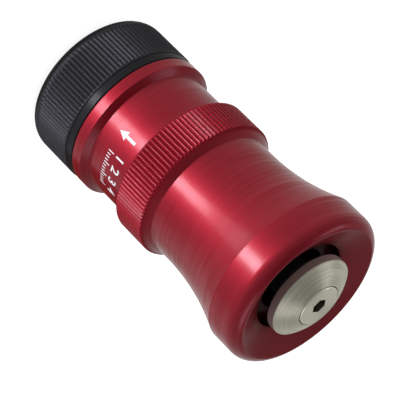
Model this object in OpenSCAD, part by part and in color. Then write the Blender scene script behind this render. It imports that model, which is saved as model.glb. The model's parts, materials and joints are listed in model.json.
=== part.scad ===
// Adjustable fog nozzle for a 1 inch fire hose.
// It stands on the back of its swivel coupling. +Z is the way the water flows, and z = 0 is the
// swivel's back face. The barrel is at its back stop, where the baffle stands furthest out and the
// spray is widest. Turning the barrel carries it forward along the cam groove.

/* [Swivel coupling] */
// Outside radius over the knurl's crests
swivel_r = 26.92; // [26.6:0.05:27.4]
// Length from the back face to the front face
swivel_len = 24.35; // [24.2:0.05:24.45]
// Radius of the rounding at the back edge
swivel_round = 6; // [4:0.1:7]
// Height where the knurl starts, in front of the smooth rounding
swivel_knurl_start = 5.2; // [4.5:0.1:6]
// Height where the knurl ends and the plain band begins
swivel_knurl_end = 20.8; // [19.5:0.1:21.5]
// Radius of the plain band in front of the knurl
swivel_band_r = 26.6; // [26.2:0.05:26.8]
// Minor radius of the female 1 inch hose thread
thread_r = 15.4; // [15.2:0.05:15.6]

/* [Body] */
// Radius of the rim that the swivel turns against
rim_r = 26.7; // [26:0.05:27]
// Height of the rim's back face
rim_back = 24.65; // [24.55:0.05:24.9]
// Height of the rim's front edge
rim_front = 28.85; // [28:0.05:29.2]
// Height where the rim's slope meets the cylinder
rim_foot = 30.45; // [30:0.05:31]
// Radius of the cylinder that the barrel's skirt slides on
body_r = 24.0; // [23.9:0.05:24.1]
// Height of the shoulder between the cylinder and the nose
shoulder_z = 61.7; // [61.5:0.05:61.8]
// Radius of the nose that carries the seals inside the barrel
nose_r = 20.3; // [20.1:0.05:20.34]
// Height of the nose's front end
nose_end = 88; // [87:0.1:89]
// Radius of the waterway through the tail
waterway_r = 12.5; // [11.5:0.1:13]
// Radius of the chamber in front of the tail
chamber_r = 15; // [14:0.1:15.2]

/* [Barrel] */
// Height of the skirt's back edge
skirt_back = 47.95; // [47.8:0.05:48.1]
// Height of the grip ring's front edge
ring_front = 61.2; // [61:0.05:61.4]
// Outside radius of the grip ring over its crests
ring_r = 26.94; // [26.8:0.05:27.2]
// Radius of the neck at its slimmest
neck_r = 23.95; // [23.8:0.05:24.1]
// Height where the slope in front of the grip ring meets the neck
neck_start = 63.85; // [63.6:0.05:64]
// Height where the neck begins to flare
flare_start = 70; // [69:0.1:71]
// Height of the bumper's back edge
bumper_back = 101.1; // [100.6:0.05:101.4]
// Outside radius of the bumper
bumper_r = 30; // [29.6:0.05:30.2]
// Radius of the rounding at the bumper's front edge
bumper_round = 4.6; // [3:0.1:4.8]
// Height of the bumper's front plane
lip_z = 114; // [113.8:0.05:114.2]
// Radius at which the dish's slope would reach the front plane; the rounding cuts it a little lower
lip_r = 26.6; // [26.2:0.05:26.9]
// Radius of the mouth at the bottom of the dish
mouth_r = 16.92; // [16.6:0.05:17.2]
// Height of the bottom of the dish
dish_z = 109.2; // [108.8:0.05:109.6]
// How far the barrel moves forward over its whole turn
travel = 4.5; // [3:0.1:4.5]

/* [Baffle and stem] */
// Radius of the baffle disc
disc_r = 15.35; // [15.1:0.05:15.5]
// Height of the disc's back face
disc_back = 112.1; // [112:0.05:112.3]
// Height of the disc's rim, where the dome begins
disc_rim = 115.07; // [114.6:0.05:115.4]
// Height of the dome at the countersink's edge
dome_edge = 119.0; // [118.7:0.05:119.2]
// Radius of the screw's head
head_r = 7.78; // [7.6:0.02:7.85]
// Height of the top of the screw's head
head_top = 119.3; // [119.2:0.05:119.5]
// Radius of the stem
stem_r = 6.5; // [6:0.1:6.8]
// Across-flats size of the screw's socket
socket_af = 5; // [4:0.5:5]

/* [Details] */
// Number of teeth on each knurl
knurl_teeth = 108; // [36:1:120]
// Depth of the knurl's valleys
knurl_depth = 0.6; // [0.2:0.05:0.7]
// Number of balls in the swivel's race
ball_count = 34; // [12:1:34]
// Radius of a swivel ball
ball_r = 1.75; // [1.6:0.05:1.75]
// How far the barrel turns from wide fog to shut, in degrees
turn = 180; // [90:5:180]

/* [Hidden] */
$fn = 96;

red = "#a3142a";
black = "#232426";
steel = "#b9b4ac";
rubber = "#18181a";
white_plastic = "#d8d6cf";

slip = 0.08;          // radial running clearance
snug = 0.03;          // clearance of a part that is pressed or screwed home
seal_gap = 0.02;      // clearance of a seal from the walls that it is shaped to
eps = 0.02;           // overlap of cutters past a face
over = 1;             // how far a cutter runs out past the part
big = 60;             // larger than any radius
knurl_proud = 0.1;    // how far the knurl's crests stand past the turned outline before cutting

// Swivel race and tail
tail_back = 16;
tail_r = 20;
tail_bore_r = tail_r + slip;
tail_bore_back = 15.7;
race_z = 21.6;
race_r = tail_r + slip / 2;
race_groove_r = ball_r + 0.05;
plug_r = 2;
plug_in_r = 22.1;
plug_out_r = 25.9;
plug_socket_depth = 2;
small_socket_r = 1.15;
thread_start = 1.5;
thread_end = 12.8;
thread_chamfer_r = 16.9;
gasket_r = 17.2;
gasket_recess_r = 17.3;
gasket_bore_r = 12.6;
gasket_back = 13;
gasket_front = 15.9;
tail_seal_z = 18;
tail_seal_gland_w = 1.9;
tail_seal_floor = 18.6;

// Body's waterway: the tail's bore widens to the chamber between these heights
widen_from = 30;
widen_to = 34;

// Nose seal and wear ring
nose_seal_z = 83;
nose_seal_gland_w = 2.4;
nose_seal_floor = 18.3;
wear_z = 69;
wear_w = 3;
wear_floor = 19.1;
wear_gap = 0.05;
wear_side_gap = 0.08;

// Barrel bore
barrel_bore_r = nose_r + slip;
skirt_bore_r = body_r + slip;
skirt_bore_end = 62;
bore_end = 92;
throat_z = 101;
throat_r = 12;
wiper_z = 50.1;
wiper_gland_w = 1.8;
wiper_floor = 25.2;
wiper_gap = 0.05;
skirt_chamfer = 1;

// The seat stops just short of the baffle's seal when the barrel is right forward
baffle_seal_r = 13;
baffle_seal_t = 1.65;
seat_gap = 0.35;
seat_z = disc_back - baffle_seal_t - seat_gap - travel;

// The flare is an arc that leaves the neck without a corner and ends at the bumper's back edge
flare_run = bumper_back - flare_start;
flare_rise = bumper_r - neck_r;
flare_arc_r = (flare_run * flare_run + flare_rise * flare_rise) / (2 * flare_rise);

// Clearance round the screw's head, and round its shank in the baffle
sink_gap = 0.17;
shank_hole_r = 4.1;

// The dome is an arc on the axis through the disc's rim and the countersink's edge
sink_r = head_r + sink_gap;
dome_mid = (disc_rim + dome_edge) / 2;
dome_centre_z = dome_mid - (disc_r * disc_r - sink_r * sink_r) / (2 * (dome_edge - disc_rim));
dome_arc_r = norm([disc_r, disc_rim - dome_centre_z]);
dome_top = dome_centre_z + dome_arc_r;

// Screw head and its countersink
head_rim_z = 118.5;
head_edge = 0.35;
shank_r = 3.95;
head_foot_z = head_rim_z - (head_r - shank_r);
sink_foot_z = head_rim_z - (sink_r - shank_hole_r);
screw_end = 93;
stem_hole_end = 90;
socket_depth = 3;
hub_r = 8;
hub_back = 108.5;

// Stem fastening, from the spider backwards
spider_back = 74;
spider_front = 79;
spider_r = 16;
spider_rim_w = 2.4;
spider_hub_r = 7.5;
spider_leg_w = 3;
spigot_r = 3;
spigot_past_nut = 1.2;
washer_gap = 0.2;
washer_r = 6.2;
washer_t = 1.1;
lock_r = 5.2;
lock_t = 1.5;
lock_slot = 0.8;
nut_t = 5;
nut_af = 10;
snap_z = 79.25;
snap_t = 1.1;
snap_gap = 7;
snap_side_gap = 0.05;
snap_r = 16.9;
snap_groove_r = 17;

// Cam groove and its screw
cam_z = 54.4;
cam_dog_r = 1.5;
cam_half_w = 1.62;
cam_floor_r = 22.2;
cam_floor_gap = 0.2;
cam_dog_gap = 0.1;
cam_steps = 30;
cam_screw_r = 2;
cam_screw_out = 26.2;
cam_socket_depth = 1.2;

// A ring with a rectangular section
module ring(r_in, r_out, z0, z1) {
    rotate_extrude()
        translate([r_in, z0])
            square([r_out - r_in, z1 - z0]);
}

// The groove for a seal, w wide and centred on height z
module gland(r_in, r_out, z, w) {
    ring(r_in, r_out, z - w / 2, z + w / 2);
}

// A plug along the axis
module plug(r, z0, z1) {
    translate([0, 0, z0])
        cylinder(h = z1 - z0, r = r);
}

// A cone along the axis, radius r0 at z0 and r1 at z1
module cone(r0, r1, z0, z1) {
    translate([0, 0, z0])
        cylinder(h = z1 - z0, r1 = r0, r2 = r1);
}

// A ring with a round section
module round_ring(r_mid, r_section, z) {
    rotate_extrude()
        translate([r_mid, z])
            circle(r = r_section);
}

// A rod that points along +Y, from radius r0 to r1 off the axis
module radial_rod(r, r0, r1, z, fn = $fn) {
    translate([0, r0, z])
        rotate([-90, 0, 0])
            cylinder(h = r1 - r0, r = r, $fn = fn);
}

// A straight-knurled bar: alternate crests and valleys round the axis. The crests stand proud of
// radius r, so that the turned outline it is cut with leaves a narrow land on each
module knurled_bar(r, z0, z1) {
    step = 180 / knurl_teeth;
    outline = [
        for (i = [0 : 2 * knurl_teeth - 1])
            let (rr = i % 2 == 0 ? r + knurl_proud : r - knurl_depth)
                [rr * cos(i * step), rr * sin(i * step)]
    ];
    translate([0, 0, z0])
        linear_extrude(height = z1 - z0)
            polygon(outline);
}

// ---------- Swivel ----------

module swivel_blank() {
    intersection() {
        union() {
            plug(swivel_r, 0, swivel_knurl_start);
            knurled_bar(swivel_r, swivel_knurl_start, swivel_knurl_end);
            plug(swivel_band_r, swivel_knurl_end, swivel_len);
        }
        rotate_extrude()
            union() {
                square([swivel_r - swivel_round, swivel_len]);
                translate([0, swivel_round])
                    square([swivel_r, swivel_len - swivel_round]);
                translate([swivel_r - swivel_round, swivel_round])
                    circle(r = swivel_round);
            }
    }
}

module swivel_coupling() {
    color(black)
        difference() {
            swivel_blank();
            cone(thread_chamfer_r + eps, thread_r, -eps, thread_start);
            plug(thread_r, 0, tail_back);
            plug(gasket_recess_r, thread_end, tail_bore_back + eps);
            plug(tail_bore_r, tail_bore_back, swivel_len + over);
            round_ring(race_r, race_groove_r, race_z);
            radial_rod(plug_r + snug, race_r, big, race_z);
        }
}

module hose_gasket() {
    color(rubber)
        ring(gasket_bore_r, gasket_r, gasket_back, gasket_front);
}

module tail_seal() {
    inner = tail_seal_floor + seal_gap;
    outer = tail_bore_r - seal_gap;
    color(rubber)
        round_ring((inner + outer) / 2, (outer - inner) / 2, tail_seal_z);
}

module swivel_balls() {
    color(steel)
        for (i = [0 : ball_count - 1])
            rotate([0, 0, (i + 0.5) * 360 / ball_count])
                translate([race_r, 0, race_z])
                    sphere(r = ball_r);
}

module ball_plug_screw() {
    color(steel)
        difference() {
            radial_rod(plug_r, plug_in_r, plug_out_r, race_z);
            radial_rod(small_socket_r, plug_out_r - plug_socket_depth, plug_out_r + over, race_z, 6);
        }
}

// ---------- Body ----------

// The helical groove in which the cam screw runs: it climbs by the travel over the whole turn
module cam_groove() {
    outer_r = body_r + over;
    rings = [
        for (i = [0 : cam_steps])
            let (a = 90 + turn * i / cam_steps, z = cam_z + travel * i / cam_steps)
                [
                    [cam_floor_r * cos(a), cam_floor_r * sin(a), z - cam_half_w],
                    [outer_r * cos(a), outer_r * sin(a), z - cam_half_w],
                    [outer_r * cos(a), outer_r * sin(a), z + cam_half_w],
                    [cam_floor_r * cos(a), cam_floor_r * sin(a), z + cam_half_w]
                ]
    ];
    points = [for (ring = rings) for (p = ring) p];
    sides = [
        for (i = [0 : cam_steps - 1])
            for (k = [0 : 3])
                let (a = 4 * i + k, b = 4 * i + (k + 1) % 4)
                    each [[a, b, b + 4], [a, b + 4, a + 4]]
    ];
    last = 4 * cam_steps;
    ends = [[3, 2, 1, 0], [last, last + 1, last + 2, last + 3]];
    polyhedron(points = points, faces = concat(sides, ends));
    radial_rod(cam_half_w, cam_floor_r, outer_r, cam_z);
    rotate([0, 0, turn])
        radial_rod(cam_half_w, cam_floor_r, outer_r, cam_z + travel);
}

module body_base() {
    color(red)
        difference() {
            union() {
                plug(tail_r, tail_back, rim_back + eps);
                plug(rim_r, rim_back, rim_front);
                cone(rim_r, body_r, rim_front, rim_foot);
                plug(body_r, rim_front, shoulder_z);
                plug(nose_r, shoulder_z - eps, nose_end);
            }
            plug(waterway_r, tail_back - over, nose_end + over);
            cone(waterway_r, chamber_r, widen_from, widen_to);
            plug(chamber_r, widen_to, nose_end + over);
            plug(spider_r, spider_back, nose_end + over);
            ring(chamber_r, snap_groove_r, snap_z - snap_side_gap, snap_z + snap_t + snap_side_gap);
            gland(tail_seal_floor, tail_r + over, tail_seal_z, tail_seal_gland_w);
            round_ring(race_r, race_groove_r, race_z);
            gland(nose_seal_floor, nose_r + over, nose_seal_z, nose_seal_gland_w);
            ring(wear_floor, nose_r + over, wear_z, wear_z + wear_w);
            cam_groove();
        }
}

module wear_ring() {
    inner = wear_floor + wear_gap;
    outer = barrel_bore_r - snug;
    color(white_plastic)
        ring(inner, outer, wear_z + wear_side_gap, wear_z + wear_w - wear_side_gap);
}

module nose_oring() {
    inner = nose_seal_floor + seal_gap;
    outer = barrel_bore_r - seal_gap;
    color(rubber)
        round_ring((inner + outer) / 2, (outer - inner) / 2, nose_seal_z);
}

// ---------- Stem and baffle ----------

module stem_spider() {
    leg_count = 3;
    leg_start = spider_hub_r - 2;
    leg_end = spider_r - spider_rim_w / 2;
    color(steel)
        difference() {
            union() {
                ring(spider_r - spider_rim_w, spider_r - snug, spider_back, spider_front);
                plug(spider_hub_r, spider_back, spider_front);
                for (i = [0 : leg_count - 1])
                    rotate([0, 0, 90 + i * 360 / leg_count])
                        translate([leg_start, -spider_leg_w / 2, spider_back])
                            cube([leg_end - leg_start, spider_leg_w, spider_front - spider_back]);
            }
            plug(spigot_r + snug, spider_back - over, spider_front + over);
        }
}

module spider_retaining_ring() {
    color(steel)
        difference() {
            ring(spider_r - spider_rim_w, snap_r, snap_z, snap_z + snap_t);
            translate([0, -snap_gap / 2, snap_z - over])
                cube([big, snap_gap, snap_t + 2 * over]);
        }
}

module stem() {
    spigot_back = spider_back - washer_t - lock_t - nut_t - spigot_past_nut;
    color(steel)
        difference() {
            union() {
                plug(spigot_r, spigot_back, spider_front + eps);
                plug(stem_r, spider_front, hub_back);
            }
            plug(shank_r + snug, stem_hole_end, hub_back + over);
        }
}

module stem_washer() {
    color(steel)
        ring(spigot_r + washer_gap, washer_r, spider_back - washer_t, spider_back);
}

module stem_lock_washer() {
    front = spider_back - washer_t;
    color(steel)
        difference() {
            ring(spigot_r + washer_gap, lock_r, front - lock_t, front);
            translate([0, -lock_slot / 2, front - lock_t - over])
                cube([lock_r + over, lock_slot, lock_t + 2 * over]);
        }
}

module stem_nut() {
    front = spider_back - washer_t - lock_t;
    color(steel)
        difference() {
            translate([0, 0, front - nut_t])
                cylinder(h = nut_t, r = nut_af / 2 / cos(30), $fn = 6);
            plug(spigot_r + snug, front - nut_t - over, front + over);
        }
}

module baffle_head() {
    color(steel)
        difference() {
            union() {
                plug(hub_r, hub_back, disc_back + eps);
                rotate_extrude()
                    intersection() {
                        translate([0, disc_back])
                            square([disc_r, dome_arc_r]);
                        translate([0, dome_centre_z])
                            circle(r = dome_arc_r);
                    }
            }
            plug(shank_hole_r, hub_back - over, dome_top + over);
            cone(shank_hole_r, sink_r, sink_foot_z, head_rim_z);
            plug(sink_r, head_rim_z, dome_top + over);
        }
}

module baffle_seal() {
    color(rubber)
        ring(hub_r + snug, baffle_seal_r, disc_back - baffle_seal_t, disc_back);
}

module baffle_screw() {
    socket_r = socket_af / 2 / cos(30);
    color(steel)
        difference() {
            union() {
                plug(shank_r, screw_end, head_foot_z + eps);
                cone(shank_r, head_r, head_foot_z, head_rim_z);
                plug(head_r, head_rim_z, head_top - head_edge);
                cone(head_r, head_r - head_edge, head_top - head_edge, head_top);
            }
            translate([0, 0, head_top - socket_depth])
                cylinder(h = socket_depth + over, r = socket_r, $fn = 6);
        }
}

// ---------- Barrel ----------

// Half section of the barrel's outside, from the axis out
module barrel_outline() {
    difference() {
        union() {
            polygon([
                [0, skirt_back],
                [ring_r - skirt_chamfer, skirt_back],
                [ring_r, skirt_back + skirt_chamfer],
                [ring_r, ring_front],
                [neck_r, neck_start],
                [neck_r, flare_start],
                [0, flare_start]
            ]);
            translate([0, flare_start - eps])
                square([bumper_r, bumper_back - flare_start + eps]);
            translate([0, bumper_back - eps])
                square([bumper_r, lip_z - bumper_round - bumper_back + eps]);
            translate([0, lip_z - bumper_round - eps])
                square([bumper_r - bumper_round, bumper_round + eps]);
            translate([bumper_r - bumper_round, lip_z - bumper_round])
                circle(r = bumper_round);
        }
        intersection() {
            translate([neck_r + flare_arc_r, flare_start])
                circle(r = flare_arc_r, $fn = 360);
            translate([0, flare_start])
                square([big, bumper_back - flare_start]);
        }
    }
}

module barrel_solid() {
    intersection() {
        rotate_extrude()
            barrel_outline();
        union() {
            knurled_bar(ring_r, skirt_back, ring_front);
            plug(big, ring_front, lip_z + over);
        }
    }
}

module barrel() {
    color(red)
        difference() {
            barrel_solid();
            plug(skirt_bore_r, skirt_back - over, skirt_bore_end);
            plug(barrel_bore_r, skirt_bore_end - over, bore_end);
            cone(barrel_bore_r, throat_r, bore_end - eps, throat_z);
            plug(throat_r, throat_z - eps, seat_z + over);
            plug(mouth_r, seat_z, lip_z + over);
            cone(mouth_r, lip_r, dish_z, lip_z);
            plug(lip_r, lip_z - eps, lip_z + over);
            gland(skirt_bore_r - over, wiper_floor, wiper_z, wiper_gland_w);
            radial_rod(cam_screw_r + snug, body_r - over, big, cam_z);
        }
}

module wiper_oring() {
    inner = body_r + wiper_gap;
    outer = wiper_floor - seal_gap;
    color(rubber)
        round_ring((inner + outer) / 2, (outer - inner) / 2, wiper_z);
}

module cam_screw() {
    dog_tip = cam_floor_r + cam_floor_gap;
    color(steel)
        difference() {
            union() {
                radial_rod(cam_dog_r, dog_tip, skirt_bore_r + cam_dog_gap + eps, cam_z);
                radial_rod(cam_screw_r, skirt_bore_r + cam_dog_gap, cam_screw_out, cam_z);
            }
            radial_rod(small_socket_r, cam_screw_out - cam_socket_depth, cam_screw_out + over, cam_z, 6);
        }
}

swivel_coupling();
hose_gasket();
tail_seal();
swivel_balls();
ball_plug_screw();
body_base();
wear_ring();
nose_oring();
stem_spider();
spider_retaining_ring();
stem();
stem_washer();
stem_lock_washer();
stem_nut();
baffle_head();
baffle_seal();
baffle_screw();
barrel();
wiper_oring();
cam_screw();
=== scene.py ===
# %% [markdown]
# # A small fog nozzle for a fire hose
# The nozzle is nearly all lathe work: a black knurled swivel, a red body, a red barrel that ends in
# a flared bumper, and a steel baffle in the mouth. This notebook builds the finish of every visible
# piece round a imported frame that already holds the sizes and the joints. The first step loads that
# frame and keeps its parts, whose boxes give some of the heights.

# %% load the frame
import json
import math

import bmesh
import bpy
from mathutils import Matrix, Vector


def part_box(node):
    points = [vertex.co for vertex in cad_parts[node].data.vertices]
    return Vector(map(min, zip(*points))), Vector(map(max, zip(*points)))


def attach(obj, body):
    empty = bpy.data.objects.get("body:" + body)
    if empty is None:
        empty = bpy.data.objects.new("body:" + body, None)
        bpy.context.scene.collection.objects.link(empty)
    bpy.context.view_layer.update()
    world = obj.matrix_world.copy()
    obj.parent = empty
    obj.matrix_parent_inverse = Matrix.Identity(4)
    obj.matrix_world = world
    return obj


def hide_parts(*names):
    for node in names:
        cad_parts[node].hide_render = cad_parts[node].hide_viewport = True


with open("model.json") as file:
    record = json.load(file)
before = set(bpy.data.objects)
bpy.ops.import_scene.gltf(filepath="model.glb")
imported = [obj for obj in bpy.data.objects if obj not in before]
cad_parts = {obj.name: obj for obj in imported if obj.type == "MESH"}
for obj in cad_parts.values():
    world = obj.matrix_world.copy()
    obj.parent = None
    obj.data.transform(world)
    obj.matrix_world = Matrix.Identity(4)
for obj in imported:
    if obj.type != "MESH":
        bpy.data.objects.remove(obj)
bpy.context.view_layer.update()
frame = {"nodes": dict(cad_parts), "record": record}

MM = 0.001

# %% [markdown]
# ## Nodes written as sums
# A material or a Geometry Nodes tree is a page of small nodes. Wiring them one by one hides the idea,
# so a socket is wrapped in a class whose +, -, * and / add Math nodes. Every other node comes from a
# single method that sets its options first and then fills or links its sockets. The same two classes
# serve both kinds of tree, because Math nodes are the same in both.

# %% a socket that does sums, and the tree it lives in
class Wire:
    def __init__(self, page, socket):
        self.page = page
        self.socket = socket

    def math(self, operation, *values):
        inputs = dict(enumerate((self, *values)))
        return self.page.node("ShaderNodeMath", {"operation": operation}, inputs)

    def __add__(self, other):
        return self.math("ADD", other)

    def __sub__(self, other):
        return self.math("SUBTRACT", other)

    def __rsub__(self, other):
        return (self * -1.0) + other

    def __mul__(self, other):
        return self.math("MULTIPLY", other)

    def __truediv__(self, other):
        return self.math("DIVIDE", other)

    def __rtruediv__(self, other):
        return self.page.node("ShaderNodeMath", {"operation": "DIVIDE"}, {0: other, 1: self})

    __radd__ = __add__
    __rmul__ = __mul__

    def ramp(self, low, high, shape="SMOOTHSTEP"):
        """0 below low, 1 above high, and a ramp of the given shape between."""
        inputs = {"Value": self, "From Min": low, "From Max": high}
        return self.page.node("ShaderNodeMapRange", {"interpolation_type": shape}, inputs)


class Page:
    def __init__(self, tree):
        self.tree = tree

    def node(self, kind, settings=None, inputs=None, out=0):
        made = self.tree.nodes.new(kind)
        for name, value in (settings or {}).items():
            setattr(made, name, value)
        for name, value in (inputs or {}).items():
            if isinstance(value, Wire):
                self.tree.links.new(value.socket, made.inputs[name])
            else:
                made.inputs[name].default_value = value
        return Wire(self, made.outputs[out])

    def split(self, vector):
        """The x, y and z of a vector."""
        x = self.node("ShaderNodeSeparateXYZ", {}, {0: vector})
        return [Wire(self, socket) for socket in x.socket.node.outputs]

    def end(self, kind, result):
        made = self.tree.nodes.new(kind)
        self.tree.links.new(result.socket, made.inputs[0])


# %% [markdown]
# ## Where a point is on a turned part
# Every mark that a lathe leaves runs round the axis, so the finishes don't use flat texture
# coordinates. They take the Object coordinates, which are the real position in metres, and turn them
# into the distance from the axis, the height and the way round. A noise that changes fast with the
# first two and slowly with the third draws turning lines on cylinders, cones and faces alike. The way
# round is the pair cosine and sine instead of an angle, because an angle jumps where it starts again
# and would leave a seam. That makes four numbers, so the noise is the 4D one.

# %% coordinates and turning lines
# Each layer of lathe marks: how fine it is per millimetre, how soon a mark fades along its run, and
# a seed that keeps the layers apart
FINE_LINES = (22.0, 1.2, 3.0)
COARSE_LINES = (5.0, 0.7, 11.0)
FEED_BANDS = (2.8, 0.9, 23.0)
PATCH_MM = 16.0


def lathe_place(page):
    spot = page.node("ShaderNodeTexCoord", out="Object")
    x, y, z = page.split(spot)
    reach = (x * x + y * y).math("SQRT")
    return spot, reach / MM, z / MM, (x / reach, y / reach)


def turning_lines(page, radius, height, way_round, per_mm, swing, seed):
    """Lines round the axis: per_mm sets how fine they are, swing how soon one fades along its run."""
    cosine, sine = way_round
    across = {0: radius * per_mm, 1: height * per_mm, 2: cosine * swing + seed}
    where = page.node("ShaderNodeCombineXYZ", {}, across)
    inputs = {"Vector": where, "W": sine * swing, "Scale": 1.0, "Detail": 3.0, "Roughness": 0.6}
    return page.node("ShaderNodeTexNoise", {"noise_dimensions": "4D"}, inputs)


def soft_patches(page, spot, size_mm, detail=2.0):
    """Slow patches of the given size, for uneven dye, handling and dust."""
    inputs = {"Vector": spot, "Scale": 1.0 / (size_mm * MM), "Detail": detail}
    return page.node("ShaderNodeTexNoise", {}, inputs)


def mix_colour(page, factor, colour_a, colour_b):
    """A colour mix. The Mix node keeps its factor in socket 0 and its two colours in 6 and 7."""
    inputs = {0: factor, 6: colour_a, 7: colour_b}
    return page.node("ShaderNodeMix", {"data_type": "RGBA"}, inputs, out=2)


def new_material(name):
    made = bpy.data.materials.new(name)
    made.use_nodes = True
    made.node_tree.nodes.clear()
    return made, Page(made.node_tree)


def turned_metal(name, colour, dark, roughness, line_gain, fixed, zones=(), band_gain=0.0):
    """The finish shared by every turned metal piece. dark is the colour in the slow patches, line_gain
    how strongly the turning lines show, band_gain the same for the broad feed bands, and fixed the
    shader's constants. Each zone is (rim radius, softness, from, to, colour, coat loss): inside that
    radius and between those heights the metal is that colour, rougher, and loses that share of coat."""
    made, page = new_material(name)
    spot, radius, height, way_round = lathe_place(page)
    fine = turning_lines(page, radius, height, way_round, *FINE_LINES)
    coarse = turning_lines(page, radius, height, way_round, *COARSE_LINES)
    bands = turning_lines(page, radius, height, way_round, *FEED_BANDS) - 0.5
    patches = soft_patches(page, spot, PATCH_MM)
    lines = fine * 0.65 + coarse * 0.35
    rough = (lines - 0.5) * (0.3 * line_gain) + (patches - 0.5) * 0.06
    rough = rough + bands * (0.3 * band_gain) + roughness
    tone = patches * 0.5 + lines * 0.5 + bands * band_gain
    paint = mix_colour(page, tone.ramp(0.35, 0.7), dark, colour)
    depth = {"Strength": 0.2 * line_gain, "Distance": 0.03 * MM, "Height": lines}
    relief = page.node("ShaderNodeBump", {}, depth)
    coat = (lines - 0.5) * (2.0 * line_gain) + bands * (2.6 * band_gain) + 1.0
    coat = coat * fixed.get("Coat Weight", 0.0)
    # Each zone paints its colour over the piece; most zones are painted shade, painted light or a painted
    # reflection
    for rim, softness, start, stop, zone_colour, coat_loss in zones:
        within = height.math("GREATER_THAN", start) * height.math("LESS_THAN", stop)
        share = (1.0 - radius.ramp(rim - softness, rim)) * within
        paint = mix_colour(page, share, paint, zone_colour)
        rough = rough + share * 0.15
        coat = (1.0 - share * coat_loss) * coat
    inputs = {**fixed, "Normal": relief, "Base Color": paint, "Roughness": rough, "Coat Weight": coat}
    page.end("ShaderNodeOutputMaterial", page.node("ShaderNodeBsdfPrincipled", {}, inputs))
    return made


# %% [markdown]
# ## The metal finishes
# Anodising grows a thin glassy skin on aluminium and the dye sits in it, so the metal still mirrors
# but in the dye's own colour. A metallic shader with a deep red does that, and a thin clear coat over
# it gives the crisp pale glint that the skin's surface adds. The black swivel is the same process
# with black dye. The baffle and its screw are bare stainless steel, where the turning marks show
# most, so their reflections are drawn out across the marks with anisotropy.
#
# The tool's feed leaves broad bands as well as fine lines, and both make the coat weaker and
# stronger as they pass. Some places differ in colour from the rest of their piece, each a zone picked
# out by its distance from the axis and its height. Most of them are painted light and shade: painted
# shade in the red knurl's valleys, on the swivel's back edge, in the throat, under the disc and in
# the socket, a painted paler tone on the dish, and a painted pink reflection with shade on the side
# of the disc. The black knurl's valleys are a little paler and the swivel's band a little darker.

# %% red, black and steel
red_anodised = turned_metal(
    "red_anodised", (0.285, 0.0105, 0.0225, 1), (0.25, 0.0085, 0.0185, 1), 0.5, 0.16,
    {
        "Metallic": 0.66, "Specular IOR Level": 0.0, "Specular Tint": (0.35, 0.08, 0.1, 1),
        "Coat Weight": 1.0, "Coat Roughness": 0.22, "Coat IOR": 1.28,
    },
    [
        # painted shade: the red knurl's valleys are darker than its crests
        (26.9, 0.26, 48.0, 62.0, (0.245, 0.0092, 0.019, 1), 0.7),
        # painted shade: the mouth's wall, seat and throat are near black
        (17.3, 0.26, 84.0, 109.3, (0.05, 0.002, 0.004, 1), 0.7),
        # painted light: the dish is paler and greyer than the rest of the barrel
        (26.3, 0.4, 109.0, 113.76, (0.25, 0.034, 0.04, 1), 0.6),
    ],
    0.8,
)
black_anodised = turned_metal(
    "black_anodised", (0.030, 0.031, 0.0335, 1), (0.023, 0.024, 0.026, 1), 0.52, 0.2,
    {
        "Metallic": 0.7, "Specular IOR Level": 0.0, "Specular Tint": (0.35, 0.35, 0.35, 1),
        "Coat Weight": 0.42, "Coat Roughness": 0.22, "Coat IOR": 1.28,
    },
    [
        (26.88, 0.26, 4.0, 21.1, (0.034, 0.035, 0.038, 1), 0.7),
        # painted shade: the swivel's rounded back edge is darker, for a darker reflection
        (26.75, 0.3, -1.0, 4.9, (0.012, 0.0115, 0.0115, 1), 0.7),
        (26.9, 0.1, 21.15, 25.0, (0.017, 0.017, 0.018, 1), 0.0),
    ],
    0.8,
)
stainless = turned_metal(
    "stainless", (0.75, 0.735, 0.585, 1), (0.53, 0.52, 0.41, 1), 0.5, 1.3,
    {"Metallic": 0.88, "Anisotropic": 0.8, "Anisotropic Rotation": 0.25},
    [
        # painted reflection and shade: the side of the disc and the edge of its back are darker and pinkish
        (15.8, 0.26, 60.0, 114.8, (0.34, 0.25, 0.235, 1), 0.0),
        # painted shade: the hub and stem under the disc are near black
        (13.2, 0.26, 60.0, 112.3, (0.04, 0.036, 0.032, 1), 0.0),
    ],
    1.0,
)
screw_steel = turned_metal(
    "screw_steel", (0.84, 0.82, 0.67, 1), (0.76, 0.74, 0.6, 1), 0.38, 0.6,
    {"Metallic": 1.0, "Anisotropic": 0.6, "Anisotropic Rotation": 0.25},
    # painted shade: the screw's socket is dark
    [(3.2, 0.26, 115.0, 119.15, (0.12, 0.115, 0.08, 1), 0.0)],
    0.5,
)
ball_steel = turned_metal(
    "ball_steel", (0.72, 0.72, 0.73, 1), (0.66, 0.66, 0.67, 1), 0.12, 0.1,
    {"Metallic": 1.0},
)
print("metals", [m.name for m in (red_anodised, black_anodised, stainless, screw_steel, ball_steel)])

# %% [markdown]
# ## Rubber, plastic and print
# The gasket and the O-rings are moulded rubber: dark, dull, with a faint mottled bloom. The wear ring
# is machined acetal. The white marks are pad-printed ink, which has a slight grain.

# %% soft finishes
def dull_finish(name, colour, bloom, roughness, grain_mm, depth):
    made, page = new_material(name)
    spot = page.node("ShaderNodeTexCoord", out="Object")
    grain = soft_patches(page, spot, grain_mm, 4.0)
    cloud = soft_patches(page, spot, grain_mm * 12)
    relief = page.node("ShaderNodeBump", {}, {"Strength": 0.25, "Distance": depth * MM, "Height": grain})
    inputs = {
        "Base Color": mix_colour(page, cloud.ramp(0.4, 0.75), colour, bloom),
        "Roughness": (grain - 0.5) * 0.2 + roughness,
        "Normal": relief,
    }
    page.end("ShaderNodeOutputMaterial", page.node("ShaderNodeBsdfPrincipled", {}, inputs))
    return made


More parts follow.
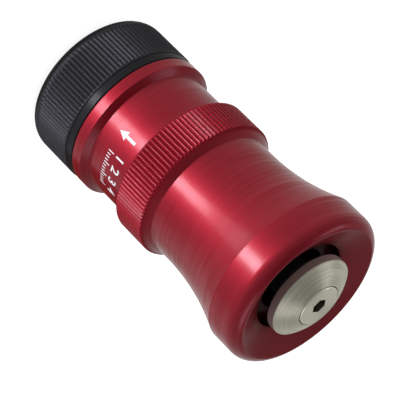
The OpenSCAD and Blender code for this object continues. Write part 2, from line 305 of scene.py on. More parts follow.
rubber = dull_finish("rubber", (0.018, 0.018, 0.019, 1), (0.032, 0.032, 0.034, 1), 0.62, 0.25, 0.02)
white_plastic = dull_finish("white_plastic", (0.78, 0.77, 0.73, 1), (0.83, 0.82, 0.79, 1), 0.45, 0.4, 0.01)
white_ink = dull_finish("white_ink", (0.72, 0.70, 0.71, 1), (0.80, 0.78, 0.79, 1), 0.5, 0.12, 0.004)
print("soft finishes", rubber.name, white_plastic.name, white_ink.name)

# %% [markdown]
# ## Half sections
# A turned piece is one half section swept round the axis. The section is written as corners, each a
# radius, a height and, if the edge is broken, the radius of its rounding. The helper puts a short arc
# at each rounded corner and a holding point just before and after it, so that the broad faces beside
# it keep their own shading.

# %% corners to a smooth half section
# How far beyond a rounding its holding points stand, in millimetres
HOLD = 0.03


def round_corner(before, corner, after, radius, arc_step):
    """Points of the arc that rounds one corner, with a holding point at each end."""
    b, c, a = Vector(before[:2]), Vector(corner[:2]), Vector(after[:2])
    back = (b - c).normalized()
    ahead = (a - c).normalized()
    half = back.angle(ahead) / 2
    reach = radius / math.tan(half)
    room = 0.95 * min((b - c).length, (a - c).length)
    if reach > room:
        radius, reach = radius * room / reach, room
    centre = c + (back + ahead).normalized() * (radius / math.sin(half))
    sweep = math.pi - 2 * half
    steps = max(2, math.ceil(math.degrees(sweep) / arc_step))
    side = 1 if back.x * ahead.y - back.y * ahead.x < 0 else -1
    spoke = c + back * reach - centre
    points = [c + back * (reach + HOLD)]
    for i in range(steps + 1):
        points.append(centre + Matrix.Rotation(side * sweep * i / steps, 2) @ spoke)
    points.append(c + ahead * (reach + HOLD))
    return points


def arc(centre_r, centre_z, radius, start, stop, step):
    """Points of an arc in the section, from one angle to another in degrees off the radial way."""
    steps = max(2, math.ceil(abs(stop - start) / step))
    angles = [math.radians(start + (stop - start) * i / steps) for i in range(steps + 1)]
    return [(centre_r + radius * math.cos(a), centre_z + radius * math.sin(a)) for a in angles]


def half_section(corners, arc_step=15.0):
    """A dense closed outline in millimetres from corners of (radius, height[, rounding])."""
    outline = []
    for i, corner in enumerate(corners):
        if len(corner) == 3:
            after = corners[(i + 1) % len(corners)]
            outline += round_corner(corners[i - 1], corner, after, corner[2], arc_step)
        else:
            outline.append(Vector(corner[:2]))
    return outline


def rows_between(outline, radius, low, high, spacing):
    """Adds rows to the straight wall at this radius, so that a pattern can be cut in it."""
    result = []
    for i, point in enumerate(outline):
        result.append(point)
        after = outline[(i + 1) % len(outline)]
        run = after.y - point.y
        if abs(point.x - radius) > 1e-4 or abs(after.x - radius) > 1e-4:
            continue
        steps = math.ceil(abs(run) / spacing)
        heights = [point.y + run * k / steps for k in range(1, steps)]
        result += [Vector((radius, h)) for h in heights if low <= h <= high]
    return result


# %% [markdown]
# ## One tree for all lathe work
# Spinning a section could be done with the Screw modifier, but then the knurl would be a second mesh
# stuck on. Here one Geometry Nodes tree wraps a grid round the axis: its rows read their radius and
# height from the section, its columns are steps of angle, and everything that isn't round is one more
# sum on the radius. The knurl is the smaller of the turned radius and the toothed radius, just as a
# knurling tool bites only what stands proud, so chamfers end the teeth by themselves. The cam groove
# drops the radius to its floor along a helix, and a hexagon socket scales the innermost rows.

# %% the lathe tree
LATHE_INPUTS = (
    ("Section", "NodeSocketGeometry"), ("Columns", "NodeSocketInt"), ("Finish", "NodeSocketMaterial"),
    ("Teeth", "NodeSocketFloat"), ("Crest Radius", "NodeSocketFloat"), ("Tooth Depth", "NodeSocketFloat"),
    ("Knurl From", "NodeSocketFloat"), ("Knurl Full", "NodeSocketFloat"),
    ("Knurl Fade", "NodeSocketFloat"), ("Knurl To", "NodeSocketFloat"),
    ("Groove Half Width", "NodeSocketFloat"), ("Groove Floor", "NodeSocketFloat"),
    ("Groove Start", "NodeSocketFloat"), ("Groove Climb", "NodeSocketFloat"),
    ("Hexagon Below", "NodeSocketFloat"),
)
# The share of a tooth's pitch that its flat crest takes
CREST_LAND = 1 / 7


def knurl_bite(radius, height, share, given):
    """How much the knurl takes off the turned radius: flat crests and straight flanks."""
    tooth = (share * given["Teeth"]).math("FRACT") - 0.5
    down_flank = (tooth.math("ABSOLUTE") * 2).ramp(CREST_LAND, 1.0, "LINEAR")
    rise = height.ramp(given["Knurl From"], given["Knurl Full"])
    run_out = height.ramp(given["Knurl Fade"], given["Knurl To"])
    toothed = given["Crest Radius"] - down_flank * given["Tooth Depth"] * rise * (1.0 - run_out)
    inside = height.math("GREATER_THAN", given["Knurl From"]) * height.math("LESS_THAN", given["Knurl To"])
    return (radius - toothed).math("MAXIMUM", 0.0) * inside


def groove_bite(radius, height, share, given):
    """How much the cam groove takes off: a helix that climbs from the +Y side over half a turn."""
    since = (share * 2 - 0.5).math("FLOORED_MODULO", 2.0)
    along = since.math("MINIMUM", 1.0)
    past = (since - along).math("MINIMUM", 2.0 - since) * (math.pi * given["Groove Floor"])
    off = height - (given["Groove Start"] + along * given["Groove Climb"])
    gap = (off * off + past * past).math("SQRT")
    near = gap.math("LESS_THAN", given["Groove Half Width"])
    outside = radius.math("GREATER_THAN", given["Groove Floor"])
    return (radius - given["Groove Floor"]) * (near * outside)


def build_lathe_tree():
    tree = bpy.data.node_groups.new("lathe", "GeometryNodeTree")
    for name, kind in LATHE_INPUTS:
        tree.interface.new_socket(name, in_out="INPUT", socket_type=kind)
    tree.interface.new_socket("Mesh", in_out="OUTPUT", socket_type="NodeSocketGeometry")
    page = Page(tree)
    start = tree.nodes.new("NodeGroupInput")
    given = {s.name: Wire(page, s) for s in start.outputs if s.name}

    rows = page.node("GeometryNodeAttributeDomainSize", {"component": "MESH"}, {0: given["Section"]})
    around = given["Columns"] + 1
    grid = page.node("GeometryNodeMeshGrid", {}, {"Vertices X": rows + 1, "Vertices Y": around})
    index = page.node("GeometryNodeInputIndex")
    row = ((index + 0.5) / around).math("FLOOR")
    share = (index - row * around) / given["Columns"]
    angle = share * (2 * math.pi)
    place = page.node("GeometryNodeInputPosition")
    corner = page.node("GeometryNodeSampleIndex", {"data_type": "FLOAT_VECTOR"}, {
        "Geometry": given["Section"], "Value": place, "Index": row.math("FLOORED_MODULO", rows),
    })
    radius, flat, height = page.split(corner)

    sixth = (share * 6).math("FRACT") * (math.pi / 3) - math.pi / 6
    hexagon = radius.math("LESS_THAN", given["Hexagon Below"])
    spread = 1 + hexagon * (1 / sixth.math("COSINE") - 1)
    knurled = radius * spread - knurl_bite(radius, height, share, given)
    final = knurled - groove_bite(radius, height, share, given)
    x = final * angle.math("COSINE")
    y = final * angle.math("SINE")
    spot = page.node("ShaderNodeCombineXYZ", {}, {0: x, 1: y, 2: height})
    wrapped = page.node("GeometryNodeSetPosition", {}, {"Geometry": grid, "Position": spot})
    joined = page.node("GeometryNodeMergeByDistance", {}, {"Geometry": wrapped, "Distance": 1e-6})
    real = page.node("GeometryNodeRealizeInstances", {}, {"Geometry": joined})
    painted = page.node("GeometryNodeSetMaterial", {}, {"Geometry": real, "Material": given["Finish"]})
    page.end("NodeGroupOutput", painted)
    return tree


lathe_tree = build_lathe_tree()
print("lathe tree", len(lathe_tree.nodes), "nodes")


# %% turning a section into a finished piece
# Metres off the axis, beyond every part, so a knurl or a groove that isn't asked for takes nothing off
FAR_OUT = 1.0


def set_inputs(modifier, values):
    for item in modifier.node_group.interface.items_tree:
        if item.in_out == "INPUT" and item.name in values:
            modifier[item.identifier] = values[item.name]


def new_object(name, mesh):
    obj = bpy.data.objects.new(name, mesh)
    bpy.context.scene.collection.objects.link(obj)
    return obj


def grow(name, mesh, tree, values):
    """Runs a Geometry Nodes tree on a mesh and keeps the result as one plain mesh."""
    obj = new_object(name, mesh)
    modifier = obj.modifiers.new(tree.name, "NODES")
    modifier.node_group = tree
    set_inputs(modifier, values)
    depsgraph = bpy.context.evaluated_depsgraph_get()
    plain = bpy.data.meshes.new_from_object(obj.evaluated_get(depsgraph), depsgraph=depsgraph)
    obj.modifiers.clear()
    obj.data = plain
    return obj


def close_up(obj, sharp_degrees=55.0):
    """Points the faces outwards, shades them smooth, keeps real corners sharp and prints the count."""
    work = bmesh.new()
    work.from_mesh(obj.data)
    bmesh.ops.remove_doubles(work, verts=work.verts, dist=1e-7)
    bmesh.ops.delete(work, geom=[e for e in work.edges if not e.link_faces], context="EDGES")
    bmesh.ops.recalc_face_normals(work, faces=work.faces)
    if work.calc_volume(signed=True) < 0:
        bmesh.ops.reverse_faces(work, faces=work.faces)
    open_edges = sum(1 for e in work.edges if len(e.link_faces) != 2)
    work.to_mesh(obj.data)
    work.free()
    obj.data.shade_smooth()
    obj.data.set_sharp_from_angle(angle=math.radians(sharp_degrees))
    triangles = sum(len(p.vertices) - 2 for p in obj.data.polygons)
    print(f"{obj.name}: {triangles} triangles, {open_edges} open edges")


def turn_on_lathe(name, outline, finish, columns=360, **pattern):
    """A closed turned piece from a half section in millimetres."""
    mesh = bpy.data.meshes.new(name)
    mesh.from_pydata([(p.x * MM, 0, p.y * MM) for p in outline], [], [])
    values = {"Columns": columns, "Finish": finish, "Crest Radius": FAR_OUT, "Groove Floor": FAR_OUT}
    values.update({key: value * (1 if key == "Teeth" else MM) for key, value in pattern.items()})
    obj = grow(name, mesh, lathe_tree, values)
    close_up(obj)
    return obj


def drill_side(obj, radius, height, depth_r):
    """Drills a round hole from the +Y side, in to depth_r off the axis, with sizes in millimetres.
    The piece is closed up again, so its counts are printed a second time."""
    drill = bmesh.new()
    drill_length = 40
    middle = Matrix.Translation((0, (depth_r + drill_length / 2) * MM, height * MM))
    bmesh.ops.create_cone(
        drill, cap_ends=True, segments=48, radius1=radius * MM, radius2=radius * MM,
        depth=drill_length * MM, matrix=middle @ Matrix.Rotation(math.radians(-90), 4, "X"),
    )
    mesh = bpy.data.meshes.new("drill")
    drill.to_mesh(mesh)
    drill.free()
    tool = new_object("drill", mesh)
    cut = obj.modifiers.new("hole", "BOOLEAN")
    cut.object = tool
    cut.solver = "EXACT"
    depsgraph = bpy.context.evaluated_depsgraph_get()
    drilled = bpy.data.meshes.new_from_object(obj.evaluated_get(depsgraph), depsgraph=depsgraph)
    obj.modifiers.clear()
    obj.data = drilled
    bpy.data.objects.remove(tool)
    close_up(obj)


def settle(obj, body, slot, *nodes):
    """Attaches a finished piece to its body and hides the frame parts it stands for. The slot is not used.
    """
    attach(obj, body)
    if nodes:
        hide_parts(*nodes)


# %% [markdown]
# ## The swivel coupling
# The black coupling is what a hand spins to screw the nozzle to a hose. Its outside is a straight
# knurl between a broad rounded back edge and a plain band, and each valley runs out in a small round
# end at the band. Heights come from the frame's box for the node.

# %% swivel
TEETH = 108.0
TOOTH_COLUMNS = 7
TOOTH_DEPTH = 0.62
screw_hole_r = 2.03
plug_screw_z = 21.6
swivel_low, swivel_high = (corner.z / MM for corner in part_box("swivel_coupling"))
swivel_r = 26.92
band_r = 26.6
knurl_end = 20.8
thread_major_r = 16.6
swivel_corners = [
    (17.6, swivel_low, 0.2), (swivel_r, swivel_low, 6.0), (swivel_r, knurl_end + 0.3, 0.15),
    (band_r, knurl_end + 0.62, 0.2), (band_r, swivel_high, 0.45), (20.08, swivel_high, 0.15), (20.08, 15.7),
    (17.3, 15.7), (17.3, 12.8), (thread_major_r, 12.8), (thread_major_r, 1.0),
]
swivel_section = half_section(swivel_corners, 9.0)
swivel_outline = rows_between(swivel_section, swivel_r, 19.7, knurl_end + 0.3, 0.2)
swivel = turn_on_lathe(
    "swivel_coupling_turned", swivel_outline, black_anodised, int(TEETH) * TOOTH_COLUMNS,
    **{
        "Teeth": TEETH, "Crest Radius": swivel_r, "Tooth Depth": TOOTH_DEPTH,
        "Knurl From": 4.6, "Knurl Full": 5.8, "Knurl Fade": 19.9, "Knurl To": 21.1,
    },
)
drill_side(swivel, screw_hole_r, plug_screw_z, 22.0)
settle(swivel, "swivel", "black_anodised", "swivel_coupling")

# %% [markdown]
# ## The body
# The red body runs through the swivel, shows as a rim and a plain cylinder, and goes on inside the
# barrel as a stepped nose. The rim's front is a slope that meets the cylinder at a clean line. The
# nose has the grooves for the O-ring and the wear ring, and the helical cam groove is cut in the
# cylinder where the skirt covers it.

# %% body
body_low, body_high = (corner.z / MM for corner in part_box("body_base"))
rim_r = 26.7
body_r = 24.0
nose_r = 20.3
cam_z = 54.4
travel = 4.5
body_corners = [
    (12.5, body_low, 0.3), (20.0, body_low, 0.3), (20.0, 17.05), (18.6, 17.05), (18.6, 18.95),
    (20.0, 18.95), (20.0, 20.0), (18.4, 21.0), (18.4, 22.2), (20.0, 23.2),
    (20.0, 24.65), (rim_r, 24.65, 0.3), (rim_r, 28.85, 0.2), (body_r, 30.45, 0.15),
    (body_r, 61.7, 0.3), (nose_r, 61.7, 0.1), (nose_r, 69.0), (19.1, 69.0), (19.1, 72.0), (nose_r, 72.0),
    (nose_r, 81.8), (18.3, 81.8), (18.3, 84.2), (nose_r, 84.2),
    (nose_r, body_high, 0.6), (16.0, body_high, 0.2), (16.0, 80.4), (17.0, 80.4), (17.0, 79.2),
    (16.0, 79.2), (16.0, 74.0), (15.0, 74.0), (15.0, 34.0), (12.5, 30.0),
]
body_outline = rows_between(half_section(body_corners), body_r, 52.4, 60.8, 0.27)
body = turn_on_lathe(
    "body_turned", body_outline, red_anodised, 600,
    **{"Groove Half Width": 1.62, "Groove Floor": 22.2, "Groove Start": cam_z, "Groove Climb": travel},
)
settle(body, "body", "red_anodised", "body_base")

# %% [markdown]
# ## The barrel
# One turning makes the knurled grip ring, the waist and the bumper. The waist flares to the bumper
# along a single arc, so its section is worked out from that arc instead of from many corners. The
# mouth is a shallow dish with a step behind it, the seat, and a smooth throat behind that.

# %% barrel
barrel_low, _ = (corner.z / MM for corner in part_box("barrel"))
ring_r = 26.94
neck_r = 23.95
bumper_r = 30.0
bumper_back = 101.1
flare_start = 70.0
seat_z = 105.6
mouth_r = 16.92
skirt_bore_r = 24.08
nose_bore_r = 20.38


def flare_arc(steps):
    """Points along the arc that leaves the neck without a corner and meets the bumper's back edge."""
    run = bumper_back - flare_start
    rise = bumper_r - neck_r
    arc_r = (run * run + rise * rise) / (2 * rise)
    heights = [flare_start + run * i / steps for i in range(1, steps)]
    return [(neck_r + arc_r - math.sqrt(arc_r ** 2 - (h - flare_start) ** 2), h) for h in heights]


barrel_corners = [
    (skirt_bore_r, barrel_low, 0.1), (ring_r - 1.0, barrel_low, 0.15),
    (ring_r - 0.66, barrel_low + 0.34), (ring_r - 0.3, barrel_low + 0.7), (ring_r, barrel_low + 1.0, 0.1),
    (ring_r, 61.2, 0.15), (26.62, 61.48), (26.36, 61.71), (26.3, 61.77), (neck_r, 63.85, 0.3),
    (neck_r, flare_start), *flare_arc(16), (bumper_r, bumper_back, 0.25),
    *arc(25.4, 109.4, 4.6, 0, 71, 8), *arc(26.507, 112.615, 1.2, 78, 116, 9),
    (mouth_r, 109.2, 0.25), (mouth_r, seat_z), (12.0, seat_z, 0.2), (12.0, 101.0),
    (nose_bore_r, 92.0), (nose_bore_r, 62.0), (skirt_bore_r, 62.0), (skirt_bore_r, 51.0),
    (25.2, 51.0), (25.2, 49.2), (skirt_bore_r, 49.2),
]
barrel_outline = half_section(barrel_corners)
barrel = turn_on_lathe(
    "barrel_turned", barrel_outline, red_anodised, int(TEETH) * TOOTH_COLUMNS,
    **{
        "Teeth": TEETH, "Crest Radius": ring_r, "Tooth Depth": TOOTH_DEPTH,
        "Knurl From": 47.8, "Knurl Full": 47.9, "Knurl Fade": 62.6, "Knurl To": 62.7,
    },
)
drill_side(barrel, screw_hole_r, cam_z, 22.5)
settle(barrel, "barrel", "red_anodised", "barrel")

# %% [markdown]
# ## The baffle
# The steel disc in the mouth turns the water outwards into a cone. Its face is a shallow dome struck
# from one centre on the axis, and it is countersunk for the screw.

# %% baffle disc
disc_r = 15.35
disc_back = 112.1
disc_rim = 115.07
dome_edge = 119.0
sink_r = 7.97


def dome_arc(steps):
    """Points along the dome from its rim to the countersink's edge."""
    middle = (disc_rim + dome_edge) / 2
    centre = middle - (disc_r ** 2 - sink_r ** 2) / (2 * (dome_edge - disc_rim))
    dome_r = math.hypot(disc_r, disc_rim - centre)
    radii = [disc_r + (sink_r - disc_r) * i / steps for i in range(1, steps)]
    return [(r, centre + math.sqrt(dome_r ** 2 - r * r)) for r in radii]


baffle_corners = [
    (4.1, 108.5, 0.1), (8.0, 108.5, 0.2), (8.0, disc_back), (disc_r, disc_back, 0.25),
    (disc_r, disc_rim, 0.35), *dome_arc(18), (sink_r, dome_edge, 0.1), (sink_r, 118.5), (4.1, 114.4),
]
baffle = turn_on_lathe("baffle_turned", half_section(baffle_corners), stainless, 360)
settle(baffle, "body", "stainless", "baffle_head")

# %% [markdown]
# ## The screw that holds it
# A countersunk socket screw closes the middle of the disc. It is turned like the rest, and its
# innermost rows are stretched to a hexagon, so the socket has real flats and a drill point below.

# %% baffle screw
head_r = 7.62
head_top = 119.3
flat_r = 2.5
screw_corners = [
    (0.0, 93.0), (3.7, 93.0, 0.1), (3.95, 93.4), (3.95, 114.72), (head_r, 118.5, 0.1),
    (head_r, head_top, 0.45), (flat_r + 1.6, head_top), (flat_r + 0.55, head_top),
    (flat_r, head_top, 0.15), (flat_r, 116.3, 0.1), (0.0, 115.4),
]
screw = turn_on_lathe(
    "baffle_screw_turned", half_section(screw_corners), screw_steel, 180, **{"Hexagon Below": flat_r + 0.3},
)
settle(screw, "body", "screw_steel", "baffle_screw")

# %% [markdown]
# ## The hose thread
# A hose screws into the swivel on a coarse straight thread, 11.5 turns to the inch. A thread is a
# ridge that follows a helix, so it's drawn as one: a spiral curve carries a trapezoid along it. Its
# root is sunk a little in the bore, so the two read as one piece of metal.

# %% thread
THREAD_INPUTS = (
    ("Turns", "NodeSocketFloat"), ("Radius", "NodeSocketFloat"), ("Length", "NodeSocketFloat"),
    ("Start", "NodeSocketFloat"), ("Root Width", "NodeSocketFloat"), ("Crest Width", "NodeSocketFloat"),
    ("Depth", "NodeSocketFloat"), ("Finish", "NodeSocketMaterial"),
)
thread_pitch = 25.4 / 11.5
thread_minor_r = 15.4


def build_thread_tree():
    tree = bpy.data.node_groups.new("thread", "GeometryNodeTree")
    for name, kind in THREAD_INPUTS:
        tree.interface.new_socket(name, in_out="INPUT", socket_type=kind)
    tree.interface.new_socket("Mesh", in_out="OUTPUT", socket_type="NodeSocketGeometry")
    page = Page(tree)
    start = tree.nodes.new("NodeGroupInput")
    given = {s.name: Wire(page, s) for s in start.outputs if s.name}
    helix = page.node("GeometryNodeCurveSpiral", {}, {
        "Resolution": 96, "Rotations": given["Turns"], "Start Radius": given["Radius"],
        "End Radius": given["Radius"], "Height": given["Length"],
    })
    upright = page.node("GeometryNodeSetCurveNormal", {"mode": "Z_UP"}, {0: helix})
    section = page.node("GeometryNodeCurvePrimitiveQuadrilateral", {"mode": "TRAPEZOID"}, {
        "Bottom Width": given["Root Width"], "Top Width": given["Crest Width"],
        "Height": given["Depth"], "Offset": 0.0,
    })
    quarter = (0, 0, math.radians(-90))
    turned = page.node("GeometryNodeTransform", {}, {"Geometry": section, "Rotation": quarter})
    ridge = page.node("GeometryNodeCurveToMesh", {}, {0: upright, 1: turned, "Fill Caps": True})
    lift = page.node("ShaderNodeCombineXYZ", {}, {2: given["Start"]})
    placed = page.node("GeometryNodeTransform", {}, {"Geometry": ridge, "Translation": lift})
    real = page.node("GeometryNodeRealizeInstances", {}, {"Geometry": placed})
    painted = page.node("GeometryNodeSetMaterial", {}, {"Geometry": real, "Material": given["Finish"]})
    page.end("NodeGroupOutput", painted)
    return tree


thread_turns = 4.6
root_sink = 0.2
ridge_depth = thread_major_r - thread_minor_r + root_sink
thread_sizes = {
    "Radius": (thread_major_r + root_sink - ridge_depth / 2) * MM,
    "Length": thread_turns * thread_pitch * MM,
    "Start": 1.9 * MM, "Root Width": 1.75 * MM, "Crest Width": 0.4 * MM, "Depth": ridge_depth * MM,
}
thread = grow(
    "hose_thread", bpy.data.meshes.new("hose_thread"), build_thread_tree(),
    {**thread_sizes, "Turns": thread_turns, "Finish": black_anodised},
)
close_up(thread, 30.0)
settle(thread, "swivel", "black_anodised")
reach = [math.hypot(v.co.x, v.co.y) / MM for v in thread.data.vertices]
print(f"thread from radius {min(reach):.2f} to {max(reach):.2f}")

# %% [markdown]
# ## The gasket
# The hose end stops on a rubber gasket. It's moulded with soft edges, and the face towards the hose
# has two fine ribs that the hose end presses on to keep the water in.

# %% gasket
gasket_face = 13.0
rib_top = gasket_face - 0.2
gasket_rows = [
    (12.6, gasket_face, 0.4), (17.2, gasket_face, 0.4), (17.2, 15.6, 0.4), (12.6, 15.6, 0.4),
]
for middle in (14.2, 15.7):
    gasket_rows[-3:-3] = [
        (middle - 0.3, gasket_face), (middle - 0.12, rib_top), (middle + 0.12, rib_top),
        (middle + 0.3, gasket_face),
    ]
gasket = turn_on_lathe("hose_gasket_moulded", half_section(gasket_rows), rubber, 180)
settle(gasket, "swivel", "rubber", "hose_gasket")

# %% [markdown]
# ## Two set screws
# On the +Y side a short screw plugs the hole that the swivel's balls are loaded through, and another
# holds the cam dog in the barrel. Both are turned upright and then laid over to point along +Y.

# %% set screws
def set_screw(name, top_r, length, height, body, node, dog_r=0.0, dog_length=0.0):
    """A socket set screw from its length and the radius its top stands at, with a dog if one is given."""
    low = top_r - length
    corners = [
        (0.0, low), (1.7, low), (2.0, low + 0.3), (2.0, top_r, 0.25), (1.35, top_r), (1.15, top_r, 0.1),
        (1.15, top_r - 1.2), (0.0, top_r - 1.5),
    ]
    if dog_r:
        tip = low - dog_length
        corners[:3] = [(0.0, tip), (dog_r, tip, 0.15), (dog_r, low), (2.0, low + 0.1)]
    screw = turn_on_lathe(name, half_section(corners), ball_steel, 96, **{"Hexagon Below": 1.2})
    laid_over = Matrix.Rotation(math.radians(-90), 4, "X")
    screw.data.transform(Matrix.Translation((0, 0, height * MM)) @ laid_over)
    settle(screw, body, "screw_steel", node)


set_screw("ball_plug_screw_turned", 25.9, 3.8, plug_screw_z, "swivel", "ball_plug_screw")
set_screw("cam_screw_turned", 26.2, 2.0, cam_z, "barrel", "cam_screw", 1.5, 1.8)

# %% [markdown]
# ## Printed marks
# The body carries a plain dial printed in white: an arrow for the reading point, a row of ticks and
# the figures one to four. Ink follows the metal, so the flat drawing is cut into narrow strips and
# wrapped round the cylinder. It is two hundredths of a millimetre thick.

# %% dial marks
ink_r = 24.0
ink_thickness = 0.02
ink_gap = 0.005
strip_width = 0.78


def box_points(x, y, width, height):
    return [(x, y), (x + width, y), (x + width, y + height), (x, y + height)]


def flat_drawing(name, shapes):
    """A thin flat piece from closed outlines, drawn in millimetres."""
    curve = bpy.data.curves.new(name, "CURVE")
    curve.dimensions = "2D"
    curve.fill_mode = "BOTH"
    curve.extrude = ink_thickness / 2
    for shape in shapes:
        line = curve.splines.new("POLY")
        line.points.add(len(shape) - 1)
        line.use_cyclic_u = True
        for point, (x, y) in zip(line.points, shape):
            point.co = (x, y, 0, 1)
    return curve


def figure(character, x, y, height):
    """One printed figure, centred on x and standing on y."""
    curve = bpy.data.curves.new("figure", "FONT")
    curve.body = character
    curve.size = height / 0.72
    curve.extrude = ink_thickness / 2
    curve.offset = 0.06
    curve.align_x = "CENTER"
    curve.resolution_u = 4
    curve.offset_x = x
    curve.offset_y = y
    return curve


def wrap_marks(name, curves, start_degrees):
    """Cuts the flat pieces into strips and wraps them: x runs round the body, y along the axis."""
    flat = bmesh.new()
    for curve in curves:
        holder = new_object(curve.name, curve)
        depsgraph = bpy.context.evaluated_depsgraph_get()
        piece = bpy.data.meshes.new_from_object(holder.evaluated_get(depsgraph), depsgraph=depsgraph)
        flat.from_mesh(piece)
        bpy.data.objects.remove(holder)
    bmesh.ops.remove_doubles(flat, verts=flat.verts, dist=1e-4)
    left = min(v.co.x for v in flat.verts)
    right = max(v.co.x for v in flat.verts)
    for i in range(1, math.ceil((right - left) / strip_width)):
        cut = (left + i * strip_width, 0, 0)
        parts = flat.verts[:] + flat.edges[:] + flat.faces[:]
        bmesh.ops.bisect_plane(flat, geom=parts, plane_co=cut, plane_no=(1, 0, 0), dist=2e-3)
    for v in flat.verts:
        r = ink_r + ink_thickness / 2 + v.co.z + ink_gap
        a = math.radians(start_degrees) + v.co.x / ink_r
        v.co = Vector((r * math.cos(a), r * math.sin(a), v.co.y)) * MM
    mesh = bpy.data.meshes.new(name)
    flat.to_mesh(mesh)
    flat.free()
    obj = new_object(name, mesh)
    obj.data.materials.append(white_ink)
    close_up(obj, 30.0)
    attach(obj, "body")


arrow = [(-1.7, 39.6), (0.0, 36.2), (1.7, 39.6), (0.55, 39.6), (0.55, 44.0), (-0.55, 44.0), (-0.55, 39.6)]
step = 4.6
first = 7.6
tick_width = 0.34
dial_degrees = 283.0
ticks = []
for i in range(13):
    tall = 2.7 if i % 4 == 0 else 1.6
    ticks.append(box_points(first + i * step / 4 - tick_width / 2, 36.6, tick_width, tall))
figures = [figure(str(i + 1), first + i * step, 40.6, 3.8) for i in range(4)]
wrap_marks("dial_marks", [flat_drawing("dial", [arrow, *ticks]), *figures], dial_degrees)

# %% [markdown]
# ## The rest of the frame
# Seals, balls and the small fasteners inside keep their frame shapes, and take a finish here.

# %% finishes on the frame's own parts
slot_finish = {
    "red_anodised": red_anodised, "black_anodised": black_anodised, "stainless": stainless,
    "screw_steel": screw_steel, "ball_steel": ball_steel, "rubber": rubber, "white_plastic": white_plastic,
}
for entry in frame["record"]["subparts"]:
    node = frame["nodes"][entry["node"]]
    node.data.materials.clear()
    node.data.materials.append(slot_finish[entry["material_slot"]])

# %% [markdown]
# ## Floor and light
# The nozzle stands on a pale floor. The studio is a white tent: pale light comes from all round, more
# of it from below, where a white table would throw it back. The floor only shows; it lets the light
# from below through.
#
# Three soft boxes low in front draw the bright line down the barrel: a tall one, a smaller one over
# its upper part that makes the core, and a dim one at its foot. Two more stand high on either side
# and a little behind, for the dome and the mouth, and a weak broad one is low on the right.

# %% floor
def floor_finish():
    made, page = new_material("pale_floor")
    spot = page.node("ShaderNodeTexCoord", out="Object")
    tone = soft_patches(page, spot, 60.0).ramp(0.2, 0.8)
    paint = mix_colour(page, tone, (0.80, 0.80, 0.80, 1), (0.82, 0.82, 0.82, 1))
    inputs = {
        "Base Color": paint, "Roughness": 0.9,
        "Emission Color": (1, 1, 1, 1), "Emission Strength": 0.85,
    }
    page.end("ShaderNodeOutputMaterial", page.node("ShaderNodeBsdfPrincipled", {}, inputs))
    return made


floor_half = 3.0
floor_mesh = bpy.data.meshes.new("floor")
floor_z = -0.05 * MM
floor_signs = ((-1, -1), (1, -1), (1, 1), (-1, 1))
floor_corners = [(sx * floor_half, sy * floor_half, floor_z) for sx, sy in floor_signs]
floor_mesh.from_pydata(floor_corners, [], [(0, 1, 2, 3)])
floor = new_object("floor", floor_mesh)
floor.data.materials.append(floor_finish())
floor.visible_shadow = False
floor.visible_glossy = False
floor.visible_diffuse = False
print("floor", 2 * floor_half, "m across")

# %% the tent
cool_white = (1.0, 0.98, 1.1)
look_at = Vector((0, 0, 0.06))


def light_tent(below, lean_right, lean_back, zenith, sides, front_back):
    """Light from all round: below is the level under the horizon, and the leans tilt it towards +X
    and +Y. Above the horizon it is zenith straight up, and rises towards the sides and the back."""
    world = bpy.data.worlds.new("tent")
    world.use_nodes = True
    world.node_tree.nodes.clear()
    page = Page(world.node_tree)
    x, y, z = page.split(page.node("ShaderNodeTexCoord", out="Generated"))
    under = (x * lean_right + y * lean_back + below).math("MAXIMUM", 0.0)
    over = x * x * sides + y * y * front_back + zenith
    high = z.ramp(0.0, 0.4)
    glow = under * (1.0 - high) + over * high
    page.end("ShaderNodeOutputWorld", page.node("ShaderNodeBackground", {}, {"Strength": glow}))
    bpy.context.scene.world = world


light_tent(below=0.85, lean_right=-0.1, lean_back=0.2, zenith=0.22, sides=0.45, front_back=0.4)


def soft_box(name, azimuth, elevation, distance, width, height, radiance):
    """A soft box that looks at the middle of the nozzle. Radiance is how bright its face is."""
    lamp = bpy.data.lights.new(name, "AREA")
    lamp.shape = "RECTANGLE"
    lamp.size = width
    lamp.size_y = height
    lamp.energy = radiance * math.pi * width * height
    lamp.color = cool_white
    obj = bpy.data.objects.new(name, lamp)
    bpy.context.scene.collection.objects.link(obj)
    a, e = math.radians(azimuth), math.radians(elevation)
    way = Vector((math.cos(e) * math.cos(a), math.cos(e) * math.sin(a), math.sin(e)))
    obj.location = look_at + way * distance
    obj.rotation_euler = way.to_track_quat("Z", "Y").to_euler()
    obj.visible_camera = False
    return obj


lights = [
    soft_box("key_box", -72, -26, 0.6, 0.16, 0.27, 17.0),
    soft_box("key_core", -72, -21, 0.6, 0.12, 0.14, 14.0),
    soft_box("key_foot", -72, -54, 0.6, 0.2, 0.3, 2.6),
    soft_box("left_wing", 146, 50, 0.8, 0.2, 0.3, 2.2),
    soft_box("right_wing", 28, 56, 0.8, 0.3, 0.34, 1.8),
    soft_box("low_wing", 10, -28, 0.8, 0.45, 0.5, 0.32),
]
print("lights", [light.name for light in lights])

# %% [markdown]
# ## A warm card
# Polished metal only shows what stands round it. A small orange-brown card low on the right, towards
# the back, gives the rim and the end of the body something warm to mirror there in place of the pale
# tent. Only reflections see it.

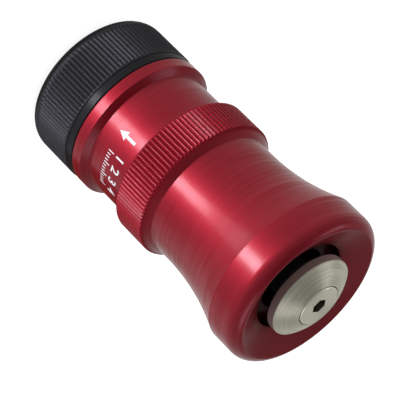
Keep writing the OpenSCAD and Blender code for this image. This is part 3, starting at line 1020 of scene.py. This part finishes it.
# %% warm card
def warm_card(corner, along, rise):
    made, page = new_material("warm_card")
    spot = page.node("ShaderNodeTexCoord", out="Object")
    tone = soft_patches(page, spot, 30.0).ramp(0.2, 0.8)
    glow = mix_colour(page, tone, (0.34, 0.036, 0.006, 1), (0.40, 0.05, 0.012, 1))
    inputs = {"Base Color": (0, 0, 0, 1), "Emission Color": glow, "Emission Strength": 0.5}
    page.end("ShaderNodeOutputMaterial", page.node("ShaderNodeBsdfPrincipled", {}, inputs))
    a, u, v = Vector(corner) * MM, Vector(along) * MM, Vector(rise) * MM
    mesh = bpy.data.meshes.new("warm_card")
    mesh.from_pydata([a, a + u, a + u + v, a + v], [], [(0, 1, 2, 3)])
    card = new_object("warm_card", mesh)
    card.data.materials.append(made)
    card.visible_camera = False
    card.visible_shadow = False
    card.visible_diffuse = False
    print("warm card", round(u.length / MM), "by", round(v.length / MM), "mm")


warm_card((95, 20, -30), (-60, 75, 0), (0, 0, 38))

# %% [markdown]
# ## The camera
# A long lens looks from the front and a little above. It is rolled, so the upright nozzle lies
# slantwise across the picture with its mouth towards the lower right.

# %% camera
view_distance = 781.2
view_elevation = 28.45
view_roll = 135.24
aim = Vector((3.1, 0, 62.3))


def place_camera():
    e, roll = math.radians(view_elevation), math.radians(view_roll)
    back = Vector((0, -math.cos(e), math.sin(e)))
    level = Vector((1, 0, 0))
    rise = back.cross(level)
    right = level * math.cos(roll) + rise * math.sin(roll)
    up = back.cross(right)
    turn = Matrix((right, up, back)).transposed().to_4x4()
    lens = bpy.data.cameras.new("camera")
    lens.sensor_width = 36.0
    lens.lens = 216.0
    lens.clip_start = 0.01
    lens.clip_end = 20.0
    obj = bpy.data.objects.new("camera", lens)
    bpy.context.scene.collection.objects.link(obj)
    obj.matrix_world = Matrix.Translation((aim + back * view_distance) * MM) @ turn
    bpy.context.scene.camera = obj
    return obj


camera = place_camera()
bpy.context.scene.view_settings.view_transform = "Standard"
print("camera at", [round(c / MM, 1) for c in camera.matrix_world.translation])
